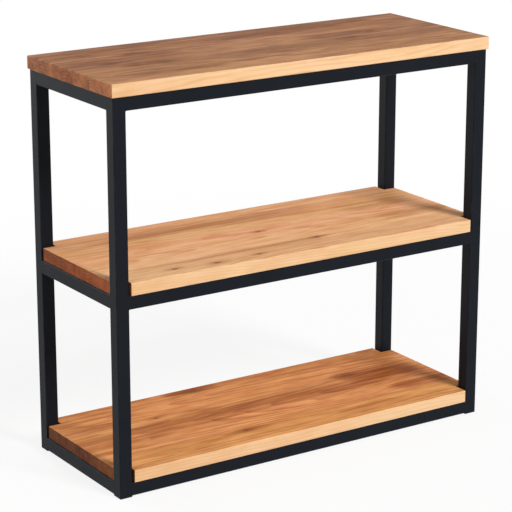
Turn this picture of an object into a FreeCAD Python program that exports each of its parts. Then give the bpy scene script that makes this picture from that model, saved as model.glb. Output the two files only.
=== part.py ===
import FreeCAD, Part
import os
import re
import Sketcher

# Open three-tier shoe rack: a welded square-tube frame that carries three wooden boards.
# Millimetres, +Z up, origin on the floor at the middle of the footprint, front towards -Y.

# Driving dimensions: alias, size, what it is
SIZES = (
    ("frame_width", 800, "frame over the outer faces of the posts, along X"),
    ("frame_depth", 300, "frame over the outer faces of the posts, along Y"),
    ("post_length", 720, "cut length of a post"),
    ("middle_rail_height", 370, "top face of the middle rails above the foot of the posts"),
    ("tube_size", 25, "outer side of the square tube"),
    ("tube_wall", 1.5, "wall of the square tube"),
    ("tube_corner_radius", 2, "outer corner radius of the square tube"),
    ("board_thickness", 24, "thickness of every board"),
    ("board_edge_radius", 1.5, "easing of the board edges"),
    ("board_overhang", 3, "board beyond the frame, in front and behind"),
    ("top_end_overhang", 3, "top board beyond the frame at each end"),
    ("shelf_end_inset", 2, "shelf board short of the frame at each end"),
    ("post_clearance", 3, "gap between a shelf notch and its post"),
    ("glide_head", 2, "foot glide below the post"),
    ("glide_edge", 0.6, "chamfer round the underside of the glide"),
    ("glide_plug_length", 14, "foot glide inside the post"),
    ("glide_wall", 2, "wall of the hollow plug"),
    ("glide_core_clearance", 1, "gap between the plug and the bore of the tube"),
    ("glide_fin_clearance", 0.1, "gap between a fin and the bore of the tube"),
    ("glide_fin_thickness", 1, "thickness of a fin"),
    ("glide_fin_pitch", 4, "spacing of the fins, and height of the lowest one over the head"),
    ("screw_spacing", 500, "distance between the two screws of a long rail"),
    ("screw_diameter", 4, "shank of a screw"),
    ("screw_length", 18, "screw from under its head to its tip"),
    ("screw_tip", 4, "tapered end of a screw"),
    ("screw_head_diameter", 8, "pan head"),
    ("screw_head_height", 2.6, "pan head"),
    ("screw_head_round", 1.4, "rounding of the pan head"),
    ("recess_span", 4.4, "cross recess over its arms"),
    ("recess_slot", 1, "width of an arm of the cross recess"),
    ("recess_depth", 1.4, "depth of the cross recess"),
    ("screw_hole_clearance", 0.5, "hole in the rail over the shank"),
    ("pilot_clearance", 0.1, "hole in the board over the shank"),
    ("pilot_extra_depth", 1, "hole in the board beyond the tip"),
    ("driver_hole_diameter", 10.5, "hole under each screw for the driver and the head"),
    ("seam_width", 1.3, "ground-flush weld over the corner radius of a post"),
    ("bead_leg", 2.5, "convex weld bead in an inner corner"),
)
FIN_COUNT = 3

# Derived sizes, written in the words of the sheet
BORE = "(tube_size - 2 * tube_wall)"
POST_X = "(frame_width / 2 - tube_size / 2)"
POST_Y = "(frame_depth / 2 - tube_size / 2)"
INNER_X = "(frame_width / 2 - tube_size)"
INNER_Y = "(frame_depth / 2 - tube_size)"
FLAT_LENGTH = "(tube_size - 2 * tube_corner_radius)"
PILOT_DEPTH = "(screw_length - tube_wall + pilot_extra_depth)"
RAIL_TOP = {
    "bottom": "(glide_head + tube_size)",
    "middle": "(glide_head + middle_rail_height)",
    "top": "(glide_head + post_length)",
}
SIDE_X = {"left": -1, "right": 1}
SIDE_Y = {"front": -1, "back": 1}
X_AXIS = FreeCAD.Vector(1, 0, 0)
Y_AXIS = FreeCAD.Vector(0, 1, 0)
Z_AXIS = FreeCAD.Vector(0, 0, 1)

doc = FreeCAD.newDocument("shoe_rack")
sheet = doc.addObject("Spreadsheet::Sheet", "Sizes")
for row, (alias, size, meaning) in enumerate(SIZES, 1):
    sheet.set(f"A{row}", meaning)
    sheet.set(f"B{row}", str(size))
    sheet.setAlias(f"B{row}", alias)
doc.recompute()
sub_parts = []


def formula(text):
    """The text as an expression on the sheet: each word becomes the cell of that alias."""
    return re.sub(r"[a-z_]+", lambda word: f"Sizes.{word.group()}", text)


def measure(text):
    """The present value of a formula."""
    return float(sheet.evalExpression(formula(text)))


def bind(item, path, text):
    """Tie a property of a document object to a formula."""
    item.setExpression(path, formula(text))


def place(item, x="0", y="0", z="0"):
    """Tie the position of a document object to three formulas."""
    for axis, text in zip("xyz", (x, y, z)):
        bind(item, f"Placement.Base.{axis}", text)


def signed(sign, text):
    """The formula, negated for the left or front side."""
    return text if sign > 0 else f"-{text}"


def new_body(label):
    body = doc.addObject("PartDesign::Body", label)
    body.Label = label
    return body


def sub_part(item):
    """Keep the object as one of the pieces that are written out."""
    sub_parts.append(item)
    return item


def new_sketch(body, role, name, height="0"):
    """An empty sketch on an origin plane of the body, raised along the plane's normal."""
    sketch = body.newObject("Sketcher::SketchObject", name)
    plane = next(item for item in body.Origin.OriginFeatures if item.Role == role)
    sketch.AttachmentSupport = [(plane, "")]
    sketch.MapMode = "FlatFace"
    bind(sketch, "AttachmentOffset.Base.z", height)
    doc.recompute()
    return sketch


def fix_distance(sketch, kind, item, point, sign, text):
    """Hold a point of the sketch at a signed distance from the origin along one axis."""
    ends = (-1, 1, item, point) if sign > 0 else (item, point, -1, 1)
    index = sketch.addConstraint(Sketcher.Constraint(kind, *ends, measure(text)))
    bind(sketch, f"Constraints[{index}]", text)


def draw_outline(sketch, signed_points):
    """A closed outline through points that are each (x sign, x formula, y sign, y formula)."""
    corners = [
        FreeCAD.Vector(x_sign * measure(x), y_sign * measure(y), 0)
        for x_sign, x, y_sign, y in signed_points
    ]
    first = sketch.GeometryCount
    count = len(corners)
    for index, corner in enumerate(corners):
        sketch.addGeometry(Part.LineSegment(corner, corners[(index + 1) % count]), False)
    for index, (x_sign, x, y_sign, y) in enumerate(signed_points):
        line = first + index
        following = first + (index + 1) % count
        sketch.addConstraint(Sketcher.Constraint("Coincident", line, 2, following, 1))
        fix_distance(sketch, "DistanceX", line, 1, x_sign, x)
        fix_distance(sketch, "DistanceY", line, 1, y_sign, y)


def draw_symmetric(sketch, *quarter):
    """A closed outline from the corners of its +X +Y quarter, mirrored about both axes."""
    points = []
    for x_sign, y_sign in ((1, 1), (-1, 1), (-1, -1), (1, -1)):
        run = quarter if x_sign == y_sign else quarter[::-1]
        points += [(x_sign, x, y_sign, y) for x, y in run]
    draw_outline(sketch, points)


def draw_square(sketch, side):
    draw_symmetric(sketch, (f"{side} / 2", f"{side} / 2"))


def draw_circle(sketch, diameter, x_sign, x, y_sign, y):
    """A circle at a signed position. A formula of None puts its centre on that axis."""
    centre = FreeCAD.Vector(x_sign * measure(x or "0"), y_sign * measure(y or "0"), 0)
    circle = sketch.addGeometry(Part.Circle(centre, Z_AXIS, measure(diameter) / 2), False)
    size = sketch.addConstraint(Sketcher.Constraint("Diameter", circle, measure(diameter)))
    bind(sketch, f"Constraints[{size}]", diameter)
    for kind, sign, text, across in (("DistanceX", x_sign, x, -2), ("DistanceY", y_sign, y, -1)):
        if text is None:
            sketch.addConstraint(Sketcher.Constraint("PointOnObject", circle, 3, across))
        else:
            fix_distance(sketch, kind, circle, 3, sign, text)


def draw_circles(sketch, diameter, x=None, y=None):
    """Circles at (x, y) and its mirror images: one, two or four of them."""
    for x_sign in (1, -1) if x else (1,):
        for y_sign in (1, -1) if y else (1,):
            draw_circle(sketch, diameter, x_sign, x, y_sign, y)


def pad(body, sketch, name, length, both_ways=False):
    feature = body.newObject("PartDesign::Pad", name)
    feature.Profile = sketch
    bind(feature, "Length", length)
    feature.SideType = "Symmetric" if both_ways else "One side"
    doc.recompute()
    return feature


def cut(body, sketch, name, upwards, depth=None):
    """A pocket along or against the sketch's normal, through everything when no depth is given."""
    before = body.Shape.Volume
    feature = body.newObject("PartDesign::Pocket", name)
    feature.Profile = sketch
    feature.Reversed = upwards
    if depth is None:
        feature.Type = "ThroughAll"
    else:
        bind(feature, "Length", depth)
    doc.recompute()
    if body.Shape.Volume >= before:
        raise RuntimeError(f"{body.Label}: {name} removes nothing")


def dress_edges(body, kind, name, size, chosen):
    """A Fillet or Chamfer on the edges of the body's last feature that pass the test."""
    base = body.Tip
    picked = [f"Edge{n}" for n, edge in enumerate(base.Shape.Edges, 1) if chosen(edge)]
    feature = body.newObject(f"PartDesign::{kind}", name)
    feature.Base = (base, picked)
    bind(feature, "Radius" if kind == "Fillet" else "Size", size)
    doc.recompute()


def runs_along(edge, axis):
    """True for a straight edge in the direction of the axis."""
    start, end = (vertex.Point for vertex in edge.Vertexes[:1] + edge.Vertexes[-1:])
    span = end - start
    return span.Length > 0 and abs(span.dot(axis)) > 0.999 * span.Length


def off_axis(edge, axis):
    """How far the middle of the edge lies from the axis through the origin."""
    middle = edge.CenterOfMass
    return (middle - axis * middle.dot(axis)).Length


def square_tube(label, role, axis, length, both_ways):
    """A length of square tube along an axis, with rounded outer and inner corners."""
    body = sub_part(new_body(label))
    section = new_sketch(body, role, f"{label}_section")
    draw_square(section, "tube_size")
    draw_square(section, BORE)
    pad(body, section, f"{label}_wall", length, both_ways)
    between_walls = measure("(tube_size - tube_wall) / 2") * 2 ** 0.5
    for name, radius, outside in (
        ("inner", "tube_corner_radius - tube_wall", False),
        ("outer", "tube_corner_radius", True),
    ):
        dress_edges(
            body, "Fillet", f"{label}_{name}_corners", radius,
            lambda edge: runs_along(edge, axis)
            and (off_axis(edge, axis) > between_walls) == outside)
    return body


def post(x_side, y_side):
    body = square_tube(f"post_{y_side}_{x_side}", "XY_Plane", Z_AXIS, "post_length", False)
    place(body, signed(SIDE_X[x_side], POST_X), signed(SIDE_Y[y_side], POST_Y), "glide_head")


def rail(level, side):
    """A rail between two posts, with a screw hole in its top wall over each driver hole."""
    label = f"{level}_rail_{side}"
    lies_across = side in SIDE_Y
    if lies_across:
        body = square_tube(label, "YZ_Plane", X_AXIS, f"2 * {INNER_X}", True)
        holes = {"x": "screw_spacing / 2"}
    else:
        body = square_tube(label, "XZ_Plane", Y_AXIS, f"2 * {INNER_Y}", True)
        holes = {}
    driver_holes = new_sketch(body, "XY_Plane", f"{label}_driver_holes")
    draw_circles(driver_holes, "driver_hole_diameter", **holes)
    cut(body, driver_holes, f"{label}_driver_cut", upwards=False)
    screw_holes = new_sketch(body, "XY_Plane", f"{label}_screw_holes")
    draw_circles(screw_holes, "(screw_diameter + screw_hole_clearance)", **holes)
    cut(body, screw_holes, f"{label}_screw_cut", upwards=True)
    place(
        body,
        "0" if lies_across else signed(SIDE_X[side], POST_X),
        signed(SIDE_Y[side], POST_Y) if lies_across else "0",
        f"{RAIL_TOP[level]} - tube_size / 2")


def board(label, level, *quarter):
    """A board on the rails of one level, with eased edges and pilot holes over the screws."""
    body = sub_part(new_body(label))
    outline = new_sketch(body, "XY_Plane", f"{label}_outline")
    draw_symmetric(outline, *quarter)
    pad(body, outline, f"{label}_slab", "board_thickness")
    dress_edges(
        body, "Fillet", f"{label}_eased_edges", "board_edge_radius",
        lambda edge: not runs_along(edge, Z_AXIS))
    pilots = new_sketch(body, "XY_Plane", f"{label}_pilots")
    pilot = "(screw_diameter + pilot_clearance)"
    draw_circles(pilots, pilot, x="screw_spacing / 2", y=POST_Y)
    draw_circles(pilots, pilot, x=POST_X)
    cut(body, pilots, f"{label}_pilot_cut", upwards=True, depth=PILOT_DEPTH)
    place(body, z=RAIL_TOP[level])


def top_board():
    board(
        "top_board", "top",
        ("(frame_width / 2 + top_end_overhang)", "(frame_depth / 2 + board_overhang)"))


def shelf_board(level):
    """A shelf with a square notch round each post."""
    end = "(frame_width / 2 - shelf_end_inset)"
    edge = "(frame_depth / 2 + board_overhang)"
    notch_x = f"({INNER_X} - post_clearance)"
    notch_y = f"({INNER_Y} - post_clearance)"
    board(f"{level}_shelf_board", level, (end, notch_y), (notch_x, notch_y), (notch_x, edge))


def glide(x_side, y_side):
    """A foot glide: a flat head under the post and a hollow finned plug up its bore."""
    label = f"glide_{y_side}_{x_side}"
    body = sub_part(new_body(label))
    head = new_sketch(body, "XY_Plane", f"{label}_head_outline")
    draw_square(head, "tube_size")
    pad(body, head, f"{label}_head", "glide_head")
    dress_edges(
        body, "Fillet", f"{label}_head_corners", "tube_corner_radius",
        lambda edge: runs_along(edge, Z_AXIS))
    dress_edges(
        body, "Chamfer", f"{label}_head_edge", "glide_edge",
        lambda edge: edge.BoundBox.ZMax < measure("glide_head") / 2)
    core = f"({BORE} - 2 * glide_core_clearance)"
    plug = new_sketch(body, "XY_Plane", f"{label}_plug_outline", "glide_head")
    draw_square(plug, core)
    pad(body, plug, f"{label}_plug", "glide_plug_length")
    fins = new_sketch(body, "XY_Plane", f"{label}_fin_outline", "glide_head + glide_fin_pitch")
    fin_half = f"({BORE} / 2 - glide_fin_clearance)"
    fin_corner = f"({fin_half} - tube_corner_radius)"
    draw_symmetric(fins, (fin_half, fin_corner), (fin_corner, fin_half))
    fin = pad(body, fins, f"{label}_fin", "glide_fin_thickness")
    stack = body.newObject("PartDesign::LinearPattern", f"{label}_fins")
    stack.Originals = [fin]
    stack.Direction = (fins, ["N_Axis"])
    stack.Occurrences = FIN_COUNT
    bind(stack, "Length", f"{FIN_COUNT - 1} * glide_fin_pitch")
    body.Tip = stack
    doc.recompute()
    hollow = new_sketch(body, "XY_Plane", f"{label}_hollow_outline", "glide_head")
    draw_square(hollow, f"({core} - 2 * glide_wall)")
    cut(body, hollow, f"{label}_hollow", upwards=True)
    place(body, signed(SIDE_X[x_side], POST_X), signed(SIDE_Y[y_side], POST_Y))


def screw_pattern():
    """One pan-head wood screw, tip up, with the underside of its head at the origin."""
    body = new_body("screw_pattern")
    profile = new_sketch(body, "XZ_Plane", "screw_profile")
    draw_outline(profile, (
        (1, "0", -1, "screw_head_height"),
        (1, "screw_head_diameter / 2", -1, "screw_head_height"),
        (1, "screw_head_diameter / 2", 1, "0"),
        (1, "screw_diameter / 2", 1, "0"),
        (1, "screw_diameter / 2", 1, "(screw_length - screw_tip)"),
        (1, "0", 1, "screw_length"),
    ))
    turned = body.newObject("PartDesign::Revolution", "screw_turned")
    turned.Profile = profile
    turned.ReferenceAxis = (profile, ["V_Axis"])
    doc.recompute()
    dress_edges(
        body, "Fillet", "screw_head_rim", "screw_head_round",
        lambda edge: edge.BoundBox.ZMax < -measure("screw_head_height") * 0.999
        and edge.BoundBox.XLength > measure("screw_head_diameter") * 0.999)
    recess = new_sketch(body, "XY_Plane", "screw_recess_outline", "-screw_head_height")
    draw_symmetric(
        recess,
        ("recess_span / 2", "recess_slot / 2"),
        ("recess_slot / 2", "recess_slot / 2"),
        ("recess_slot / 2", "recess_span / 2"))
    cut(body, recess, "screw_recess", upwards=True, depth="recess_depth")
    return body


def group(label, copies):
    """One sub-part that holds several separate solids."""
    compound = sub_part(doc.addObject("Part::Compound", label))
    compound.Label = label
    compound.Links = copies


def linked_copy(pattern, label, x, y, z, turn=FreeCAD.Rotation()):
    copy = doc.addObject("App::Link", label)
    copy.LinkedObject = pattern
    copy.Placement = FreeCAD.Placement(FreeCAD.Vector(), turn)
    place(copy, x, y, z)
    return copy


def screws(label, level, pattern):
    """The screws of one board, each seated on the inside of its rail's top wall."""
    seat = f"{RAIL_TOP[level]} - tube_wall"
    spots = [
        (signed(x_sign, "(screw_spacing / 2)"), signed(y_sign, POST_Y))
        for x_sign in (-1, 1) for y_sign in (-1, 1)
    ]
    spots += [(signed(x_sign, POST_X), "0") for x_sign in (-1, 1)]
    group(label, [
        linked_copy(pattern, f"{label}_{number}", x, y, seat)
        for number, (x, y) in enumerate(spots, 1)
    ])


def seam_pattern():
    """Weld ground flush in the groove between a rail end and the rounded corner of a post."""
    block = doc.addObject("Part::Box", "seam_block")
    for side in ("Length", "Width"):
        bind(block, side, "seam_width")
    bind(block, "Height", FLAT_LENGTH)
    corner = doc.addObject("Part::Cylinder", "seam_corner")
    bind(corner, "Radius", "tube_corner_radius")
    bind(corner, "Height", FLAT_LENGTH)
    place(corner, "tube_corner_radius", "tube_corner_radius")
    seam = doc.addObject("Part::Cut", "seam_pattern")
    seam.Base = block
    seam.Tool = corner
    doc.recompute()
    return seam


def bead_pattern():
    """Convex weld bead in an inner corner: a quarter of a cylinder."""
    bead = doc.addObject("Part::Cylinder", "bead_pattern")
    bind(bead, "Radius", "bead_leg")
    bind(bead, "Height", FLAT_LENGTH)
    bead.Angle = 90
    doc.recompute()
    return bead


def weld(pattern, label, middle, first, second):
    """A weld centred on a point, filling the corner between two directions."""
    along = first.cross(second)
    turn = FreeCAD.Rotation(first, second, along, "XYZ")
    start = [
        text if not part else f"{text} {'-' if part > 0 else '+'} {FLAT_LENGTH} / 2"
        for text, part in zip(middle, along)
    ]
    return linked_copy(pattern, label, *start, turn)


def frame_welds(level, seam, bead):
    """The welds of one ring: flush seams outside, beads inside and under the raised rails."""
    label = f"{level}_frame_welds"
    half_height = f"{RAIL_TOP[level]} - tube_size / 2"
    underside = f"{RAIL_TOP[level]} - tube_size"
    copies = []
    for x_name, x_sign in SIDE_X.items():
        for y_name, y_sign in SIDE_Y.items():
            name = f"{label}_{y_name}_{x_name}"
            outer_x = signed(x_sign, "(frame_width / 2)")
            outer_y = signed(y_sign, "(frame_depth / 2)")
            inner_x = signed(x_sign, INNER_X)
            inner_y = signed(y_sign, INNER_Y)
            to_end = X_AXIS * x_sign
            to_face = Y_AXIS * y_sign
            copies += [
                weld(seam, f"{name}_face", (inner_x, outer_y, half_height), to_end, -to_face),
                weld(seam, f"{name}_end", (outer_x, inner_y, half_height), -to_end, to_face),
                weld(bead, f"{name}_inside", (inner_x, inner_y, half_height), -to_end, -to_face),
            ]
            if level == "bottom":
                continue
            across = signed(x_sign, POST_X)
            along = signed(y_sign, POST_Y)
            copies += [
                weld(bead, f"{name}_under_long", (inner_x, along, underside), -to_end, -Z_AXIS),
                weld(bead, f"{name}_under_short", (across, inner_y, underside), -to_face, -Z_AXIS),
            ]
    group(label, copies)


def check_document():
    """Stop if any object failed or any piece has no sound shape."""
    doc.recompute()
    failed = [item.Label for item in doc.Objects if {"Invalid", "Error"} & set(item.State)]
    unsound = [item.Label for item in sub_parts if item.Shape.isNull() or not item.Shape.isValid()]
    if failed or unsound:
        raise RuntimeError(f"failed: {failed}, unsound: {unsound}")


def write_parts():
    os.makedirs("parts", exist_ok=True)
    for item in sub_parts:
        item.Shape.exportStep(f"parts/{item.Label}.step")
        print(f"{item.Label}: {len(item.Shape.Solids)} solids, {item.Shape.Volume:.1f} mm3")


for x_side in SIDE_X:
    for y_side in SIDE_Y:
        post(x_side, y_side)
        glide(x_side, y_side)
for level in RAIL_TOP:
    for side in (*SIDE_Y, *SIDE_X):
        rail(level, side)
top_board()
for level in ("middle", "bottom"):
    shelf_board(level)
screw = screw_pattern()
screws("top_board_screws", "top", screw)
for level in ("middle", "bottom"):
    screws(f"{level}_shelf_screws", level, screw)
seam = seam_pattern()
bead = bead_pattern()
for level in RAIL_TOP:
    frame_welds(level, seam, bead)
check_document()
write_parts()
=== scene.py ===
import math
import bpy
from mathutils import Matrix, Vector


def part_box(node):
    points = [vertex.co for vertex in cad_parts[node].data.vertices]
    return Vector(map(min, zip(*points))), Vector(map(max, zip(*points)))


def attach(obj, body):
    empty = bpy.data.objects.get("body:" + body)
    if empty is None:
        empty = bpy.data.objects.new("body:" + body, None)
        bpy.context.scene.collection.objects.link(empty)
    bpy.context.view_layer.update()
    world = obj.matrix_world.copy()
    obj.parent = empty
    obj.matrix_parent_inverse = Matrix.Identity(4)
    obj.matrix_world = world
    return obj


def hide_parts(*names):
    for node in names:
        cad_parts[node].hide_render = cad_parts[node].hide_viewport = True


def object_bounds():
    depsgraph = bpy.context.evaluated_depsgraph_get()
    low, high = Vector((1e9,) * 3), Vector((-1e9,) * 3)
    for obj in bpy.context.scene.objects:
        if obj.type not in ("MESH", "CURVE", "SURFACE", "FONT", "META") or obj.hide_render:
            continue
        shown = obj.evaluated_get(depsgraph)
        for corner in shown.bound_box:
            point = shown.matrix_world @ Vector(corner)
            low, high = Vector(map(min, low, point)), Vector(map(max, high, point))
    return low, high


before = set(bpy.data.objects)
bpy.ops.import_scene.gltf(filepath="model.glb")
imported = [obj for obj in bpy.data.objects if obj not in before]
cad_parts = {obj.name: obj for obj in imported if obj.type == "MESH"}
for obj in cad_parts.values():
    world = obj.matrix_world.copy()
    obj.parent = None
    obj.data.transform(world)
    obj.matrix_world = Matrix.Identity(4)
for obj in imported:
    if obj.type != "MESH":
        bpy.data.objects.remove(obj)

from types import SimpleNamespace

import bpy
import numpy as np
from mathutils import Vector

bl_info = {
    "name": "Shoe rack looks",
    "version": (1, 0, 0),
    "blender": (4, 5, 0),
    "location": "View3D > Sidebar > Shoe Rack",
    "description": "Dresses a welded tube shoe rack with three pine boards and sets its studio",
    "category": "Object",
}

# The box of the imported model, kept before anything is added.
CAD_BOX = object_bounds()

BODY = "root"
LEVELS = ("bottom", "middle", "top")
SIDE_X = {"left": -1.0, "right": 1.0}
SIDE_Y = {"front": -1.0, "back": 1.0}
CORNERS = [f"{y_name}_{x_name}" for y_name in SIDE_Y for x_name in SIDE_X]
POSTS = [f"post_{corner}" for corner in CORNERS]
RAILS = [f"{level}_rail_{side}" for level in LEVELS for side in (*SIDE_Y, *SIDE_X)]
GLIDES = [f"glide_{corner}" for corner in CORNERS]
SCREWS = ["bottom_shelf_screws", "middle_shelf_screws", "top_board_screws"]

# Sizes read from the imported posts, in metres.
POST_LOW, POST_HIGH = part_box("post_back_right")
TUBE = POST_HIGH[0] - POST_LOW[0]
INNER_X = POST_LOW[0]
INNER_Y = POST_LOW[1]
OUTER_X = POST_HIGH[0]
OUTER_Y = POST_HIGH[1]

# The rounding of a tube's corners, and the flat of its face between them, which a weld runs along.
TUBE_ROUNDING = 0.002
WELD_LENGTH = TUBE - 2 * TUBE_ROUNDING

# Points on meshes: along a weld, round a weld's face, and round the edge of a board.
WELD_STATIONS = 81
WELD_ARC = 9
EDGE_ARC = 5

# The boards: the node, whether it is notched round the posts, and a number that sets its staves.
BOARDS = {
    "top": ("top_board", False, 0.37),
    "middle": ("middle_shelf_board", True, 5.5),
    "bottom": ("bottom_shelf_board", True, 11.2),
}

# Knots of each board: place along the board, place across it, radius, in metres.
KNOTS = {
    "top": (
        (-0.246, 0.062, 0.0085),
        (-0.241, -0.028, 0.0070),
        (-0.286, -0.031, 0.0060),
        (-0.326, 0.004, 0.0045),
        (0.181, -0.019, 0.0075),
        (0.247, 0.014, 0.0065),
        (0.283, 0.120, 0.0080),
    ),
    "middle": (
        (-0.183, -0.129, 0.0050),
        (-0.266, -0.121, 0.0042),
        (-0.012, 0.000, 0.0042),
        (-0.090, -0.124, 0.0035),
        (0.060, -0.088, 0.0040),
    ),
    "bottom": (
        (-0.210, 0.048, 0.0040),
        (0.226, 0.046, 0.0065),
        (-0.100, -0.097, 0.0045),
        (-0.078, 0.136, 0.0055),
    ),
}

# Bands of darker heartwood, and bands of painted shadow and shade by the posts: place along and across, half
# length, half width, depth of colour.
BANDS = {
    "top": (
        (-0.30, 0.012, 0.150, 0.055, 0.55),
        (0.20, 0.020, 0.110, 0.036, 0.40),
        (0.27, 0.078, 0.130, 0.044, 0.50),
        (-0.06, 0.100, 0.400, 0.032, 0.40),
        (-0.26, -0.105, 0.110, 0.020, 0.35),
    ),
    "middle": (
        (-0.08, 0.092, 0.260, 0.034, 0.66),
        (-0.12, -0.092, 0.220, 0.013, 0.60),
        (0.29, 0.045, 0.090, 0.036, 0.45),
        # Painted shadow of the front right post along the right end, over darker heartwood.
        (0.33, -0.040, 0.090, 0.030, 0.50),
        (-0.30, 0.110, 0.100, 0.030, 0.30),
        (0.01, -0.096, 0.070, 0.012, 0.45),
    ),
    "bottom": (
        (-0.03, 0.004, 0.330, 0.044, 0.70),
        (0.285, 0.018, 0.100, 0.050, 1.00),
        # Painted shadow of the front right post along the right end, over darker heartwood.
        (0.345, -0.055, 0.090, 0.034, 0.85),
        (-0.08, 0.140, 0.065, 0.022, 0.95),
        (-0.10, -0.097, 0.060, 0.008, 0.55),
        (-0.34, 0.060, 0.080, 0.030, 0.45),
        # The next two bands are partly painted shade of the front left post and partly darker wood, towards
        # the left end.
        (-0.36, -0.015, 0.080, 0.055, 0.55),
        (-0.22, -0.030, 0.170, 0.090, 0.20),
    ),
}


# Settings

def colour_setting(name, description, default):
    """A colour that a user may change."""
    return bpy.props.FloatVectorProperty(
        name=name, description=description, default=default, size=3, subtype="COLOR", min=0.0, max=1.0,
    )


def length_setting(name, description, default, low, high):
    """A length that a user may change between two limits."""
    return bpy.props.FloatProperty(
        name=name, description=description, default=default, min=low, max=high, unit="LENGTH",
    )


def angle_setting(name, description, degrees):
    """An angle that a user may change."""
    return bpy.props.FloatProperty(
        name=name, description=description, default=math.radians(degrees), subtype="ANGLE",
    )


def share_setting(name, description, default, high=1.0):
    """A share or a level of light that a user may change."""
    return bpy.props.FloatProperty(
        name=name, description=description, default=default, min=0.0, max=high, subtype="FACTOR",
    )


class BoardShape(bpy.types.PropertyGroup):
    """Shape of the three boards."""

    edge_radius: length_setting("Edge radius", "Rounding along every edge of a board", 0.0015, 0.0002, 0.006)
    corner_radius: length_setting(
        "Corner radius", "Easing of the upright corners of a board", 0.0008, 0.0001, 0.003)
    notch_clearance: length_setting(
        "Notch clearance", "Gap between a shelf board's notches and the posts", 0.003, 0.0, 0.01)
    grid_step: length_setting("Grid step", "Spacing of the points on a board's faces", 0.006, 0.002, 0.05)
    knot_dip: length_setting(
        "Knot dip", "How far the dry knots have shrunk below the face", 0.0005, 0.0, 0.002)
    edge_wear: length_setting(
        "Edge wear", "How far handling has softened the edges in places", 0.0004, 0.0, 0.002)


class BoardWood(bpy.types.PropertyGroup):
    """Colours, staves and rings of the three pine boards."""

    top_light: colour_setting(
        "Top early wood", "Pale wood between the rings of the top board", (0.512, 0.266, 0.134))
    top_dark: colour_setting(
        "Top late wood", "Dark wood of the rings of the top board", (0.214, 0.0855, 0.039))
    top_end: colour_setting(
        "Top cut end", "Pale wood on the cut ends of the top board", (0.61, 0.230, 0.100))
    middle_light: colour_setting(
        "Middle early wood", "Pale wood between the rings of the middle shelf", (0.89, 0.542, 0.298))
    middle_dark: colour_setting(
        "Middle late wood", "Dark wood of the rings of the middle shelf", (0.685, 0.309, 0.130))
    # The middle and bottom cut ends are darker end grain, and darker still as painted shade, less light
    # reaching the lower ends.
    middle_end: colour_setting(
        "Middle cut end", "Pale wood on the cut ends of the middle shelf", (0.430, 0.105, 0.026))
    bottom_light: colour_setting(
        "Bottom early wood", "Pale wood between the rings of the bottom shelf", (0.795, 0.392, 0.152))
    bottom_dark: colour_setting(
        "Bottom late wood", "Dark wood of the rings of the bottom shelf", (0.460, 0.163, 0.046))
    # Painted shade: the bottom cut end is darkest partly because the least light reaches it.
    bottom_end: colour_setting(
        "Bottom cut end", "Pale wood on the cut ends of the bottom shelf", (0.230, 0.069, 0.017))
    edge_light: colour_setting(
        "Long edge, early wood", "Pale wood on the planed long edges", (0.735, 0.490, 0.297))
    edge_dark: colour_setting(
        "Long edge, late wood", "Dark wood on the planed long edges", (0.645, 0.370, 0.187))
    # Rubbed bare wood on the edges, and a painted highlight along the rounded edges.
    worn_edge_and_highlight: colour_setting("Worn edge and highlight", "Bare wood where the edges are rubbed", (0.92, 0.62, 0.34))
    # This tint also colours the bands of painted shadow and shade by the posts.
    heartwood: colour_setting(
        "Heartwood", "Tint of the darker bands and of the wood round a knot", (0.50, 0.325, 0.175))
    knot_light: colour_setting(
        "Knot, early wood", "Red-brown wood between the rings of a knot", (0.25, 0.095, 0.036))
    knot: colour_setting("Knot", "Rings, rim and pith of a knot, and the glue lines", (0.13, 0.043, 0.014))
    stave_width: length_setting(
        "Stave width", "Width of the strips that a board is glued up from", 0.062, 0.02, 0.3)
    ring_spacing: length_setting(
        "Ring spacing", "Distance from one growth ring to the next", 0.006, 0.001, 0.02)


class FramePaint(bpy.types.PropertyGroup):
    """Finish of the welded frame and of its small parts."""

    paint: colour_setting("Paint", "Black powder coat of tubes and welds", (0.0030, 0.0044, 0.0078))
    # Lighter paint on the corners: polish from handling, and a painted highlight.
    worn_paint_and_highlight: colour_setting(
        "Worn paint and highlight", "Paint where handling has polished the tube corners", (0.020, 0.023, 0.028))
    coat_grain: length_setting(
        "Coat grain", "Size of the orange peel in the powder coat", 0.0011, 0.0002, 0.01)
    glide: colour_setting("Glide plastic", "Colour of the floor glides", (0.016, 0.016, 0.017))
    glide_grain: length_setting(
        "Glide grain", "Size of the texture moulded into the glides", 0.0006, 0.0002, 0.01)
    zinc: colour_setting("Zinc", "Colour of the plated screws", (0.56, 0.57, 0.58))
    zinc_grain: length_setting("Zinc grain", "Size of the speckle in the plating", 0.0004, 0.0002, 0.01)


class WeldShape(bpy.types.PropertyGroup):
    """Shape of the welds."""

    bead_leg: length_setting("Bead leg", "Length of a bead's leg on the steel", 0.0025, 0.0005, 0.01)
    ripple_pitch: length_setting(
        "Ripple pitch", "Distance from one ripple of a bead to the next", 0.0016, 0.0005, 0.01)
    ripple_depth: share_setting("Ripple depth", "Depth of the ripples as a share of the bead's size", 0.10)
    seam_rise: length_setting(
        "Seam rise", "Height that grinding left on the outer seams", 0.00014, 0.0, 0.001)


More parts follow.
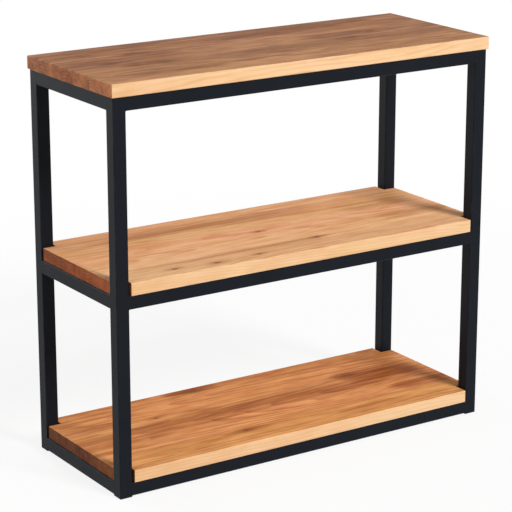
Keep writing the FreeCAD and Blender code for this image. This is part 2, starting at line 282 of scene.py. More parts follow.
class Studio(bpy.types.PropertyGroup):
    """Floor, lamps and camera."""

    floor: colour_setting("Floor", "Colour of the studio floor", (0.90, 0.90, 0.90))
    floor_glow: share_setting("Floor whiteness", "Share of plain white in the floor as it is seen", 0.86)
    key_level: share_setting("Key lamp", "Brightness of a white card that faces the key lamp", 0.955, 4.0)
    key_bearing: angle_setting("Key bearing", "Angle of the key lamp to the right of the front", 14.0)
    key_height: angle_setting("Key height", "Angle of the key lamp above the floor", 36.0)
    key_distance: length_setting("Key distance", "From the rack to the key lamp", 16.0, 1.0, 30.0)
    key_size: length_setting("Key size", "Side of the square key lamp", 4.0, 0.1, 10.0)
    back_level: share_setting("Back lamp", "Brightness of a white card that faces the back lamp", 0.36, 4.0)
    back_bearing: angle_setting("Back bearing", "Angle of the back lamp round from the front", 212.0)
    back_height: angle_setting("Back height", "Angle of the back lamp above the floor", 16.0)
    back_distance: length_setting("Back distance", "From the rack to the back lamp", 3.4, 1.0, 20.0)
    back_size: length_setting("Back size", "Side of the square back lamp", 2.2, 0.1, 10.0)
    room_level: share_setting("Room light", "Brightness of a white card in the even room light", 0.30, 4.0)
    lens: bpy.props.FloatProperty(
        name="Lens", description="Focal length of the camera",
        default=146.33, min=20.0, max=400.0, subtype="DISTANCE_CAMERA",
    )
    camera_place: bpy.props.FloatVectorProperty(
        name="Camera place", description="Where the camera stands",
        default=(-2.0634, -3.1215, 1.4497), size=3, subtype="TRANSLATION", unit="LENGTH",
    )
    camera_tilt: angle_setting("Camera tilt", "Angle that the camera looks down", 16.424)
    camera_turn: angle_setting("Camera turn", "Angle that the camera is turned to the right", 33.258)


# Shader trees

class Wire:
    """A node's output in a shader tree; arithmetic with it adds Math nodes to that tree."""

    def __init__(self, socket):
        self.socket = socket
        self.tree = socket.id_data

    def through(self, kind, *others, **settings):
        """The first output of a new node whose first inputs are this wire and the others."""
        feeds = dict(enumerate((self, *others)))
        return Wire(add_node(self.tree, kind, feeds, **settings).outputs[0])

    def math(self, operation, *others):
        """The output of a Math node."""
        return self.through("ShaderNodeMath", *others, operation=operation)

    def vector(self, operation, *others):
        """The output of a Vector Math node."""
        return self.through("ShaderNodeVectorMath", *others, operation=operation)

    def __add__(self, other):
        return self.math("ADD", other)

    def __sub__(self, other):
        return self.math("SUBTRACT", other)

    def __mul__(self, other):
        return self.math("MULTIPLY", other)

    def __truediv__(self, other):
        return self.math("DIVIDE", other)

    def away(self, other):
        """The square root of the sum of both squares."""
        return (self * self + other * other).math("SQRT")

    def ramp(self, low, high, start=0.0, end=1.0):
        """Smooth step from start to end as the value goes from low to high."""
        limits = (low, high, start, end)
        return self.through("ShaderNodeMapRange", *limits, interpolation_type="SMOOTHSTEP")

    def mix(self, first, second, blend="MIX"):
        """Two colours mixed, with this wire as the share of the second."""
        feeds = {0: self, 6: first, 7: second}
        made = add_node(self.tree, "ShaderNodeMix", feeds, data_type="RGBA", blend_type=blend)
        return Wire(made.outputs[2])

    def noise(self, scale=1.0, detail=2.0, roughness=0.5):
        """Value of a Noise texture at this place, from 0 to 1 about 0.5."""
        feeds = {"Vector": self, "Scale": scale, "Detail": detail, "Roughness": roughness}
        return Wire(add_node(self.tree, "ShaderNodeTexNoise", feeds).outputs[0])

    def split(self, kind="XYZ"):
        """The three parts of a vector, or of a colour."""
        return [Wire(part) for part in add_node(self.tree, f"ShaderNodeSeparate{kind}", {0: self}).outputs]

    def feed(self, socket):
        """Links this wire to an input."""
        self.tree.links.new(self.socket, socket)


def add_node(tree, kind, feeds=None, **settings):
    """A node with its settings; feeds maps an input to a value or a wire."""
    made = tree.nodes.new(kind)
    for name, value in settings.items():
        setattr(made, name, value)
    for key, value in (feeds or {}).items():
        if isinstance(value, Wire):
            value.feed(made.inputs[key])
        else:
            made.inputs[key].default_value = value
    return made


def new_group(name, takes, gives):
    """An empty shader node group with named sockets; takes and gives map a name to a kind."""
    tree = bpy.data.node_groups.new(name, "ShaderNodeTree")
    for label, kind in takes.items():
        tree.interface.new_socket(label, in_out="INPUT", socket_type=f"NodeSocket{kind}")
    for label, kind in gives.items():
        tree.interface.new_socket(label, in_out="OUTPUT", socket_type=f"NodeSocket{kind}")
    sockets = tree.nodes.new("NodeGroupInput").outputs
    given = {label: Wire(sockets[label]) for label in takes}
    return given, tree.nodes.new("NodeGroupOutput").inputs


def place_group(tree, name, **feeds):
    """Outputs of a node group placed in a tree; a feed has its socket's name in small letters."""
    named = {key.capitalize(): value for key, value in feeds.items()}
    made = add_node(tree, "ShaderNodeGroup", named, node_tree=bpy.data.node_groups[name])
    return [Wire(socket) for socket in made.outputs]


def drawn_noise(position, seat, form, detail, roughness):
    """Noise with so many features per metre along, across and up the board, from a stave's own seat."""
    return position.vector("MULTIPLY_ADD", form, seat).noise(1.0, detail, roughness)


# Staves, in strip widths: how much and how often the widths vary, and where a glue line begins and
# is full, from the middle of a strip.
STAVE_SWAY = 0.18
STAVE_SWAY_RATE = 2.1
GLUE_LINE = (0.484, 0.497)


def stave_group():
    """Strips glued side by side: the strip number is the whole part of y over the width.

    The widths are made uneven by a slow sine, and a glue line runs where two strips meet.
    """
    takes = {"Position": "Vector", "Width": "Float", "Shift": "Float"}
    gives = {"Tint": "Color", "Middle": "Float", "Glue line": "Float"}
    given, result = new_group("Staves", takes, gives)
    shift = given["Shift"]
    across = given["Position"].split()[1] / given["Width"]
    row = (across * STAVE_SWAY_RATE + shift).math("SINE") * STAVE_SWAY + across + shift
    number = row.math("FLOOR")
    seat = number.through("ShaderNodeCombineXYZ", shift)
    tint = add_node(seat.tree, "ShaderNodeTexWhiteNoise", {"Vector": seat}, noise_dimensions="3D")
    Wire(tint.outputs["Color"]).feed(result["Tint"])
    ((number + 0.5 - shift) * given["Width"]).feed(result["Middle"])
    (row.math("FRACT") - 0.5).math("ABSOLUTE").ramp(*GLUE_LINE).feed(result["Glue line"])


# Growth rings, in metres: how far they sway and ripple, how far aside, above or below its stave a
# pith lies, and how much it leans across and up per metre of length.
RING_SWAY = 0.024
RING_RIPPLE = 0.006
PITH_ASIDE = 0.07
PITH_NEAR = 0.022
PITH_SPREAD = 0.05
PITH_LEAN_ACROSS = 0.05
PITH_LEAN_UP = 0.11

# Noises of sway, ripple and fade: features per metre along, across and up, detail, roughness.
RING_NOISES = (
    ((2.6, 13.0, 13.0), 2.0, 0.45),
    ((9.0, 42.0, 42.0), 1.0, 0.5),
    ((4.0, 24.0, 24.0), 2.0, 0.5),
)

# The fade noise from a faint ring to a full one, and the late wood's rise and fall within a ring.
FADE_RANGE = (0.30, 0.60, 0.30, 1.0)
LATE_RISE = (0.45, 0.92)
LATE_FALL = (0.94, 1.0, 1.0, 0.0)

# Multiples of a stave's random tint that move its noises to a place of their own.
RING_SEAT = (37.0, 19.0, 53.0)
FIBRE_SEAT = (71.0, 43.0, 29.0)


def ring_group():
    """Growth rings: the distance from a stave's own pith, over the spacing, as a saw tooth.

    The pith lies below or above the stave and leans along it, so the rings run out of the face
    in long pointed arches and show as arcs on the cut end. In places they fade.
    """
    takes = {"Position": "Vector", "Tint": "Color", "Middle": "Float",
             "Height": "Float", "Spacing": "Float"}
    given, result = new_group("Growth rings", takes, {"Late wood": "Float"})
    x, y, z = given["Position"].split()
    red, green, blue = given["Tint"].split("Color")
    seat = given["Tint"].vector("MULTIPLY", RING_SEAT)
    slow, quick, patchy = (drawn_noise(given["Position"], seat, *noise) for noise in RING_NOISES)
    sway = (slow - 0.5) * RING_SWAY
    ripple = (quick - 0.5) * RING_RIPPLE
    up_or_down = green.math("GREATER_THAN", 0.5) * 2.0 - 1.0
    pith_y = given["Middle"] + (red - 0.5) * PITH_ASIDE + x * (blue - 0.5) * PITH_LEAN_ACROSS
    pith_z = (blue * PITH_SPREAD + PITH_NEAR) * up_or_down + given["Height"]
    pith_z = pith_z + x * (red - 0.5) * PITH_LEAN_UP
    reach = (y - pith_y).away(z - pith_z) + sway + ripple
    age = (reach / given["Spacing"]).math("FRACT")
    fade = patchy.ramp(*FADE_RANGE)
    (age.ramp(*LATE_RISE) * age.ramp(*LATE_FALL) * fade).feed(result["Late wood"])


# Fibre noises: name, features per metre along, across and up, detail, roughness.
FIBRES = (
    ("Fine", (20.0, 1000.0, 1000.0), 4.0, 0.6),
    ("Streak", (3.2, 95.0, 95.0), 3.0, 0.6),
    ("Fleck", (18.0, 64.0, 64.0), 2.0, 0.55),
    ("Cloud", (3.4, 17.0, 17.0), 2.0, 0.5),
    ("Hue", (5.0, 26.0, 26.0), 1.0, 0.5),
)


def fibre_group():
    """Wood fibre: noises drawn out along x, from hair fine to broad."""
    gives = {label: "Float" for label, *_ in FIBRES}
    given, result = new_group("Wood fibre", {"Position": "Vector", "Tint": "Color"}, gives)
    seat = given["Tint"].vector("MULTIPLY", FIBRE_SEAT)
    for label, *noise in FIBRES:
        drawn_noise(given["Position"], seat, *noise).feed(result[label])


# Knots: how far heart and halo are drawn out along and across the grain, where heart, pith and halo
# fade, in radii, the rings from pith to rim, the wobble per metre and its share, and how the grain
# is pushed aside.
HEART_FORM = (1.7, 1.0)
HALO_FORM = (4.6, 1.8)
HEART_FADE = (0.66, 1.08, 1.0, 0.0)
PITH_FADE = (0.08, 0.30, 1.0, 0.0)
HALO_FADE = (0.2, 1.7, 1.0, 0.0)
KNOT_RINGS = 2.5
KNOT_WOBBLE_RATE = 160.0
KNOT_WOBBLE = 0.7
GRAIN_PUSH = -0.7
GRAIN_PUSH_NARROWNESS = -0.8


def knot_group():
    """A knot: the distance from an upright axis, shorter along x, gives heart, rings and halo.

    The rings are a cosine of that distance, dark at the rim, with a dark pith in the middle. Near
    the knot the grain is pushed aside: y is drawn towards the axis by a bell curve, so the rings
    of the board bend round the heart. Knots are chained, and the strongest wins.
    """
    gives = {"Bent": "Vector", "Heart": "Float", "Ring": "Float", "Halo": "Float"}
    takes = {"Position": "Vector", **gives, "Centre": "Vector", "Radius": "Float"}
    given, result = new_group("Knot", takes, gives)
    x, y, _ = given["Position"].vector("SUBTRACT", given["Centre"]).split()
    wobble = (given["Position"].noise(KNOT_WOBBLE_RATE) - 0.5) * KNOT_WOBBLE
    near, wide = (
        (x / along).away(y / across) / given["Radius"] + wobble for along, across in (HEART_FORM, HALO_FORM)
    )
    heart = near.ramp(*HEART_FADE)
    rings = (near * (2 * math.pi * KNOT_RINGS)).math("COSINE") * -0.5 + 0.5
    ring = rings.math("MAXIMUM", near.ramp(*PITH_FADE)) * heart
    for label, mask in (("Heart", heart), ("Ring", ring), ("Halo", wide.ramp(*HALO_FADE))):
        given[label].math("MAXIMUM", mask).feed(result[label])
    bell = (wide * wide * GRAIN_PUSH_NARROWNESS).math("EXPONENT")
    shove = add_node(y.tree, "ShaderNodeCombineXYZ", {"Y": y * bell * GRAIN_PUSH}).outputs[0]
    given["Bent"].vector("ADD", Wire(shove)).feed(result["Bent"])


# Bands of heartwood and of painted shadow: how blunt their ends are, how far the streaks fray their
# border and where they fade, in half widths.
BAND_BLUNTNESS = 3.0
BAND_FRAY = -2.2
BAND_FADE = (0.10, 1.20, 1.0, 0.0)


def band_group():
    """A darker band, of heartwood and, near the posts, of painted shadow: a long soft ellipse about a point,
    its border frayed by the streaks.

    Bands are chained, and the deepest wins.
    """
    takes = {"Position": "Vector", "Depth": "Float", "Streak": "Float",
             "Centre": "Vector", "Share": "Float", "Reach": "Vector"}
    given, result = new_group("Heart band", takes, {"Depth": "Float"})
    offset = given["Position"].vector("SUBTRACT", given["Centre"])
    x, y, _ = offset.vector("DIVIDE", given["Reach"]).split()
    reach = y.away(x.math("ABSOLUTE").math("POWER", BAND_BLUNTNESS))
    frayed = reach + (given["Streak"] - 0.5) * BAND_FRAY
    mask = frayed.ramp(*BAND_FADE) * given["Share"]
    given["Depth"].math("MAXIMUM", mask).feed(result["Depth"])


# Edge wear and painted highlight: the largest part of the normal on a flat face and on a full turn,
# the noise of the patches, as features per metre, detail and roughness, and where in it they start
# and are full.
EDGE_TURN = (0.985, 0.80)
PATCH_NOISE = (34.0, 4.0, 0.65)
PATCH_RANGE = (0.38, 0.66)


def edge_group():
    """Rounded edges: where no axis of the normal stands out, the surface is turning a corner.

    The mask rises as the largest of the normal's parts falls, and a noise breaks it up.
    """
    takes = {"Position": "Vector", "Normal": "Vector"}
    # The mask lays the worn colour, which is wear and painted highlight, on rounded edges.
    given, result = new_group("Edge wear", takes, {"Edge": "Float"})
    x, y, z = given["Normal"].vector("ABSOLUTE").split()
    turn = x.math("MAXIMUM", y).math("MAXIMUM", z).ramp(*EDGE_TURN)
    patch = given["Position"].noise(*PATCH_NOISE).ramp(*PATCH_RANGE)
    (turn * patch).feed(result["Edge"])


# Powder coat: the noises of peel and speckle, as features per grain, detail and roughness, where the
# speckle starts and is full, and the noise of the cloud, with its features per metre.
PEEL_NOISE = (1.0, 2.0, 0.55)
SPECKLE_NOISE = (2.3, 1.0, 0.5)
SPECKLE_RANGE = (0.58, 0.74)
COAT_CLOUD_NOISE = (9.0, 4.0, 0.6)


def coat_group():
    """Powder coat: a fine noise for the orange peel, a speckle and a broad cloud."""
    takes = {"Position": "Vector", "Grain": "Float"}
    gives = {"Peel": "Float", "Speckle": "Float", "Cloud": "Float"}
    given, result = new_group("Powder coat", takes, gives)
    grains = given["Position"].vector("DIVIDE", given["Grain"])
    grains.noise(*PEEL_NOISE).feed(result["Peel"])
    grains.noise(*SPECKLE_NOISE).ramp(*SPECKLE_RANGE).feed(result["Speckle"])
    given["Position"].noise(*COAT_CLOUD_NOISE).feed(result["Cloud"])


def build_groups():
    """Every shared effect, made once."""
    for make in (stave_group, ring_group, fibre_group, knot_group, band_group, edge_group, coat_group):
        make()


# Materials

def new_material(name):
    """A material with its tree, its shader's inputs, its output, and the object's place and normal."""
    material = bpy.data.materials.new(name)
    material.use_nodes = True
    tree = material.node_tree
    tree.nodes.clear()
    shader = tree.nodes.new("ShaderNodeBsdfPrincipled")
    output = tree.nodes.new("ShaderNodeOutputMaterial").inputs["Surface"]
    skin = Wire(shader.outputs[0])
    skin.feed(output)
    place = tree.nodes.new("ShaderNodeTexCoord").outputs
    return SimpleNamespace(
        material=material, tree=tree, inputs=shader.inputs, skin=skin, output=output,
        position=Wire(place["Object"]), normal=Wire(place["Normal"]),
    )


def set_bump(look, height, strength, distance):
    """Feeds a height into the shader's normal through a Bump node."""
    feeds = {"Strength": strength, "Distance": distance, "Height": height}
    Wire(add_node(look.tree, "ShaderNodeBump", feeds).outputs[0]).feed(look.inputs["Normal"])


def full(colour, share=1.0):
    """A share of a colour property, with its alpha."""
    return (*(share * part for part in colour), 1.0)


# A normal's part along an axis, from where a face starts to count as facing that way to full.
FACING_RANGE = (0.55, 0.95)


def facing(part):
    """One where a face looks along an axis either way, fading out over the rounded edge."""
    return part.math("ABSOLUTE").ramp(*FACING_RANGE)


def weighted(parts, shares, start):
    """A start value plus each named part times its share."""
    total = start
    for name, share in shares.items():
        total = getattr(parts, name) * share + total
    return total


# Wood tone: where the mix of pale and dark starts, the share of each part of the grain in it, for
# back and left of a metre that way, and the rings' share of a cut end's colour. The share for back
# is painted shade: each board grows darker towards its back, where less light falls.
TONE_START = -1.555
TONE_SHARES = {"back": 1.2, "left": 0.9, "late": 0.55, "streak": 1.05, "fleck": 1.15, "cloud": 1.25,
               "fine": 0.50, "pore": 0.30}
END_RING_SHARE = 0.46

# Tints: the two that the colour drifts between, where in the hue noise it does so, and the range of
# a stave's own red, its green against its red and its blue against its green. Long edges are this
# much evener, bands included.
GOLDEN = (1.0, 0.990, 0.895, 1.0)
ROSY = (1.02, 0.985, 0.965, 1.0)
DRIFT_RANGE = (0.30, 0.70)
STAVE_RED = (0.93, 1.035)
STAVE_GREEN = (0.955, 1.035)
STAVE_BLUE = (0.90, 1.06)
EDGE_EVENNESS = 0.85

# How much of each mark's colour shows.
HALO_SHARE = 0.6
KNOT_SHARE = 0.72
GLUE_SHARE = 0.30
# The worn edge share lays real wear and a painted highlight along the roundings.
WEAR_SHARE = 0.45

# Pores within the fine fibre, the wood's roughness, its relief and its gloss.
PORES = (0.56, 0.74)
WOOD_ROUGHNESS = 0.50
WOOD_ROUGHNESS_SHARES = {"fine": 0.24, "late": -0.08}
WOOD_RELIEF_SHARES = {"fine": 1.0, "late": 0.5, "glue": -0.8, "pore": -0.5}
WOOD_BUMP = (0.35, 0.0003)
WOOD_GLOSS = 0.1


def board_grain(look, level, wood, height, shift):
    """The values and masks of a board's grain by name: staves, rings, fibre, knots, bands, edges."""
    tree, position = look.tree, look.position
    bent, heart, ring, halo, band = position, 0.0, 0.0, 0.0, 0.0
    for x, y, radius in KNOTS[level]:
        bent, heart, ring, halo = place_group(
            tree, "Knot", position=position, bent=bent, heart=heart, ring=ring, halo=halo,
            centre=(x, y, 0.0), radius=radius,
        )
    tint, middle, glue = place_group(tree, "Staves", position=position, width=wood.stave_width, shift=shift)
    late, = place_group(
        tree, "Growth rings", position=bent, tint=tint, middle=middle, height=height,
        spacing=wood.ring_spacing,
    )
    fine, streak, fleck, cloud, hue = place_group(tree, "Wood fibre", position=bent, tint=tint)
    # Some of these bands are painted shadow and shade of the posts.
    for x, y, half_length, half_width, share in BANDS[level]:
        band, = place_group(
            tree, "Heart band", position=bent, depth=band, streak=streak, share=share,
            centre=(x, y, 0.0), reach=(half_length, half_width, 1.0),
        )
    edge, = place_group(tree, "Edge wear", position=position, normal=look.normal)
    place_x, place_y, _ = position.split()
    normal_x, normal_y, _ = look.normal.split()
    side = facing(normal_y)
    return SimpleNamespace(
        tint=tint, glue=glue, late=late, hue=hue, heart=heart, ring=ring, halo=halo, band=band, edge=edge,
        fine=fine, streak=streak, fleck=fleck, cloud=cloud, pore=fine.ramp(*PORES),
        # back darkens the tone towards the back of a board: painted shade.
        back=place_y, left=side * place_x * -1.0, side=side, end=facing(normal_x),
    )


def stave_tint(tint):
    """A stave's own tint: its red, its green as a share of that and its blue as a share of both."""
    red, green, blue = tint.split("Color")
    shade = red.ramp(0.0, 1.0, *STAVE_RED)
    warmth = shade * green.ramp(0.0, 1.0, *STAVE_GREEN)
    return shade.through("ShaderNodeCombineColor", warmth, warmth * blue.ramp(0.0, 1.0, *STAVE_BLUE))


def wood_colour(grain, level, wood):
    """Pale and dark wood mixed by the tone, then tinted by drift and stave, then marked.

    Faces, long edges and cut ends each have a pair of colours, because they take oil differently; the cut
    ends of the lower boards are darker also as painted shade.
    """
    light, dark, cut = (getattr(wood, f"{level}_{part}") for part in ("light", "dark", "end"))
    pale = grain.side.mix(full(light), full(wood.edge_light))
    deep = grain.side.mix(full(dark), full(wood.edge_dark))
    pale = grain.end.mix(pale, full(cut))
    deep = grain.end.mix(deep, full(cut, END_RING_SHARE))
    colour = weighted(grain, TONE_SHARES, TONE_START).mix(pale, deep)
    colour = colour.vector("MULTIPLY", grain.hue.ramp(*DRIFT_RANGE).mix(GOLDEN, ROSY))
    uneven = grain.side * -EDGE_EVENNESS + 1.0
    colour = uneven.mix(colour, stave_tint(grain.tint), "MULTIPLY")
    marks = (
        # Bands: darker heartwood, and near the posts painted shadow and shade.
        (grain.band, uneven, full(wood.heartwood), "MULTIPLY"),
        (grain.halo, HALO_SHARE, full(wood.heartwood), "MULTIPLY"),
        (grain.heart, KNOT_SHARE, grain.ring.mix(full(wood.knot_light), full(wood.knot)), "MIX"),
        (grain.glue, GLUE_SHARE, full(wood.knot), "MIX"),
        # Worn edges: rubbed wood and a painted highlight along the roundings.
        (grain.edge, WEAR_SHARE, full(wood.worn_edge_and_highlight), "MIX"),
    )
    for mask, share, mark, blend in marks:
        colour = (mask * share).mix(colour, mark, blend)
    return colour


def wood_material(name, level, wood, height, shift):
    """Oiled pine: its colour, satin where the late wood is dense, with relief in rings and pores."""
    look = new_material(name)
    grain = board_grain(look, level, wood, height, shift)
    wood_colour(grain, level, wood).feed(look.inputs["Base Color"])
    weighted(grain, WOOD_ROUGHNESS_SHARES, WOOD_ROUGHNESS).feed(look.inputs["Roughness"])
    set_bump(look, weighted(grain, WOOD_RELIEF_SHARES, 0.0), *WOOD_BUMP)
    look.inputs["Specular IOR Level"].default_value = WOOD_GLOSS
    return look.material


# Coats: the base roughness and the bump strength of each, what shows the worn colour, which is
# polish and painted highlight, what changes the roughness, the depth of the bump and the gloss.
COATS = {
    "frame_powder_coat": (0.40, 0.55),
    "weld_powder_coat": (0.38, 0.40),
    "glide_moulded_plastic": (0.48, 0.30),
}
COAT_WEAR_AND_HIGHLIGHT_SHARES = {"speckle": 0.35, "cloud": 0.22, "edge": 0.7}
COAT_ROUGHNESS_SHARES = {"cloud": 0.16, "edge": -0.08}
COAT_DEPTH = 0.0001
COAT_GLOSS = 0.09


def coat_material(name, colour, worn_and_highlight, grain):
    """Black powder coat, or moulded plastic, with a fine peel and corners polished by handling and lightened
    as painted highlight.
    """
    look = new_material(name)
    roughness, strength = COATS[name]
    peel, speckle, cloud = place_group(look.tree, "Powder coat", position=look.position, grain=grain)
    edge, = place_group(look.tree, "Edge wear", position=look.position, normal=look.normal)
    coat = SimpleNamespace(speckle=speckle, cloud=cloud, edge=edge)
    # The worn colour on the edges is polish and a painted highlight.
    weighted(coat, COAT_WEAR_AND_HIGHLIGHT_SHARES, 0.0).mix(full(colour), full(worn_and_highlight)).feed(look.inputs["Base Color"])
    weighted(coat, COAT_ROUGHNESS_SHARES, roughness).feed(look.inputs["Roughness"])
    set_bump(look, peel, strength, COAT_DEPTH)
    look.inputs["Specular IOR Level"].default_value = COAT_GLOSS
    return look.material


# Zinc plate: how bright dull patches are, the roughness and what they add to it, the turning marks
# per metre along each axis, the speckle between them, and the bump.
ZINC_DULL = 0.62
ZINC_ROUGHNESS = 0.22
ZINC_DULL_ROUGHNESS = 0.25
TURNING_MARKS = (4000.0, 4000.0, 300.0)
ZINC_SPECKLE = 0.4
ZINC_BUMP = (0.2, 0.00005)


def zinc_material(name, colour, grain):
    """Zinc plate: bright metal with fine turning marks and a dull cloud."""
    look = new_material(name)
    _, speckle, cloud = place_group(look.tree, "Powder coat", position=look.position, grain=grain)
    cloud.mix(full(colour), full(colour, ZINC_DULL)).feed(look.inputs["Base Color"])
    (cloud * ZINC_DULL_ROUGHNESS + ZINC_ROUGHNESS).feed(look.inputs["Roughness"])
    turned = look.position.vector("MULTIPLY", TURNING_MARKS).noise()
    set_bump(look, speckle * ZINC_SPECKLE + turned, *ZINC_BUMP)
    look.inputs["Metallic"].default_value = 1.0
    return look.material


# Meshes

def add_object(name, data):
    """A new object in the scene for a mesh, a lamp or a camera."""
    made = bpy.data.objects.new(name, data)
    bpy.context.scene.collection.objects.link(made)
    return made


def add_mesh(name, points, faces, material):
    """A new smooth mesh object from an array of points and a list of faces."""
    mesh = bpy.data.meshes.new(name)
    mesh.from_pydata(points.tolist(), [], faces)
    if mesh.validate():
        raise RuntimeError(f"{name}: unsound faces")
    mesh.shade_smooth()
    mesh.materials.append(material)
    return add_object(name, mesh)


def add_piece(name, points, faces, material, node):
    """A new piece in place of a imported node."""
    piece = add_mesh(name, points, faces, material)
    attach(piece, BODY)
    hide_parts(node)
    return piece


def finish_nodes(nodes, material):
    """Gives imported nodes, which keep their shape and place, one material."""
    for name in nodes:
        mesh = bpy.data.objects[name].data
        mesh.materials.clear()
        mesh.materials.append(material)


def even_steps(stops, step):
    """Points along a line that pass through every stop, with gaps no longer than the step."""
    runs = []
    for start, end in zip(stops[:-1], stops[1:]):
        count = max(1, math.ceil((end - start) / step))
        runs.append(np.linspace(start, end, count + 1)[:-1])
    return np.concatenate([*runs, [stops[-1]]])


def grid_cells(number):
    """Four-sided faces between the points of a grid, from its array of point numbers."""
    return np.stack([number[:-1, :-1], number[1:, :-1], number[1:, 1:], number[:-1, 1:]], axis=-1)


def border_of(number, notch):
    """Grid numbers round the plan, anticlockwise, and each one's way out.

    The plan is a rectangle less a notch of so many cells at each corner, so its border is twelve
    straight runs, of which eight have no length where there is no notch. The way out of a run is
    its direction turned a quarter to the right, and the point where two runs meet takes the sum
    of theirs.
    """
    end_x, end_y = np.array(number.shape) - 1
    near_x, near_y = notch
    far_x, far_y = end_x - near_x, end_y - near_y
    turns = np.array([
        (near_x, 0), (far_x, 0), (far_x, near_y), (end_x, near_y), (end_x, far_y), (far_x, far_y),
        (far_x, end_y), (near_x, end_y), (near_x, far_y), (0, far_y), (0, near_y), (near_x, near_y),
    ])
    steps = np.roll(turns, -1, axis=0) - turns
    lengths = np.abs(steps).sum(axis=1)
    real = lengths > 0
    turns, steps, lengths = turns[real], steps[real], lengths[real]
    ways = steps // lengths[:, None]
    run = np.repeat(np.arange(len(turns)), lengths)
    since = np.arange(lengths.sum()) - np.repeat(np.cumsum(lengths) - lengths, lengths)
    index = turns[run] + ways[run] * since[:, None]
    out = np.column_stack([ways[:, 1], -ways[:, 0]])
    before = np.where(since[:, None] == 0, np.roll(out, 1, axis=0)[run], 0)
    return number[index[:, 0], index[:, 1]], out[run] + before


def board_plan(high, notch, shape):
    """Points of a board's plan less its rounded margin, their cells, the border and its ways out.

    The plan is a grid whose lines pass through the notches, less the cells inside them.
    """
    half = np.array(high[:2]) - shape.edge_radius
    cut = half if notch is None else np.array(notch) - shape.edge_radius
    lines = [
        even_steps(sorted({-far, -near, near, far}), shape.grid_step) for far, near in zip(half, cut)
    ]
    grid = np.stack(np.meshgrid(*lines, indexing="ij"), axis=-1)
    number = np.arange(grid[..., 0].size).reshape(grid.shape[:2])
    middle_x, middle_y = (np.abs(line[:-1] + line[1:]) / 2 for line in lines)
    kept = (middle_x[:, None] < cut[0]) | (middle_y[None, :] < cut[1])
    used, cells = np.unique(grid_cells(number)[kept], return_inverse=True)
    notch_cells = [int(np.sum(line < -near)) for line, near in zip(lines, cut)]
    border, outward = border_of(number, notch_cells)
    return grid.reshape(-1, 2)[used], cells.reshape(-1, 4), np.searchsorted(used, border), outward


def edge_profile(thickness, shape):
    """Way out, way down and share of wear of each ring round a board's edge, from the top down.

    On a rounding the way out is the radius times the sine of a quarter turn, the way down is the
    radius times one less its cosine, and the wear is the sine of twice the turn.
    """
    radius = shape.edge_radius
    turn = np.linspace(0, math.pi / 2, EDGE_ARC + 1)[1:]
    out = radius * np.sin(turn)
    drop = radius * (1 - np.cos(turn))
    bite = np.sin(2 * turn)
    rows = even_steps([radius, thickness - radius], shape.grid_step)[1:-1]
    outs = np.concatenate([out, np.full(len(rows), radius), out[::-1]])
    drops = np.concatenate([drop, rows, thickness - drop[::-1]])
    return outs, drops, np.concatenate([bite, np.zeros(len(rows)), bite[::-1]])


# Edge wear round a board: its mean, its waves, as how many, how strong and where each starts, and
# the power that sharpens it. Dips at the knots: their length for their width, and how narrow the
# bell is.
WEAR_MEAN = 0.5
WEAR_WAVES = ((17, 0.2, 1.0), (41, 0.2, 0.0), (97, 0.1, 2.0))
WEAR_SHARPNESS = 3
DIP_LENGTH = 1.5
DIP_NARROWNESS = 2.0


def board_mesh(low, high, notch, knots, shape):
    """Points and faces of a board, a function of place along and across the plan.

    The faces are the plan's grid, above and below. Round its border, the rings of the edge profile
    go out, down and in again. Bell-shaped dips sink the knots, and waves along the border draw the
    edges in where they are worn.
    """
    flat, cells, border, outward = board_plan(high, notch, shape)
    dip = np.zeros(len(flat))
    for x, y, size in knots:
        away = ((flat[:, 0] - x) / (DIP_LENGTH * size)) ** 2 + ((flat[:, 1] - y) / size) ** 2
        dip += shape.knot_dip * np.exp(-DIP_NARROWNESS * away)
    dip[border] = 0.0
    top = np.column_stack([flat, high[2] - dip])
    under = np.column_stack([flat, low[2] + dip])

    outs, drops, bite = edge_profile(high[2] - low[2], shape)
    count = len(border)
    run = np.arange(count) * (2 * math.pi / count)
    wear = WEAR_MEAN + sum(size * np.sin(waves * run + start) for waves, size, start in WEAR_WAVES)
    softened = outs[:, None] - shape.edge_wear * wear[None, :] ** WEAR_SHARPNESS * bite[:, None]
    rings_xy = flat[border][None, :, :] + outward[None, :, :] * softened[:, :, None]
    rings_z = np.broadcast_to((high[2] - drops)[:, None, None], (*softened.shape, 1))
    rings = np.concatenate([rings_xy, rings_z], axis=2).reshape(-1, 3)

    ring_numbers = 2 * len(flat) + np.arange(len(outs) * count).reshape(len(outs), count)
    strips = np.concatenate([border[None, :], ring_numbers, len(flat) + border[None, :]])
    ahead = np.roll(strips, -1, axis=1)
    walls = np.stack([strips[:-1], strips[1:], ahead[1:], ahead[:-1]], axis=-1).reshape(-1, 4)
    faces = np.concatenate([cells, len(flat) + cells[:, ::-1], walls])
    return np.concatenate([top, under, rings]), faces.tolist()


def carry_profile(outline, stations, runs):
    """A closed profile carried along straight paths, one for each run, capped at both ends.

    A point is the run's corner, plus its two profile parts along the run's first and second
    directions, plus its station along their cross product. The profile goes round anticlockwise,
    so the faces look outwards.
    """
    corner, first, second = (part[:, None, None, :] for part in np.moveaxis(np.array(runs), 1, 0))
    points = (
        corner
        + outline[None, :, :, :1] * first
        + outline[None, :, :, 1:] * second
        + stations[None, :, None, None] * np.cross(first, second)
    )
    number = np.arange(points.size // 3).reshape(points.shape[:3])
    ahead = np.roll(number, -1, axis=2)
    walls = np.stack([number[:, :-1], ahead[:, :-1], ahead[:, 1:], number[:, 1:]], axis=-1)
    caps = np.concatenate([number[:, 0, ::-1], number[:, -1]])
    return points.reshape(-1, 3), walls.reshape(-1, 4), caps


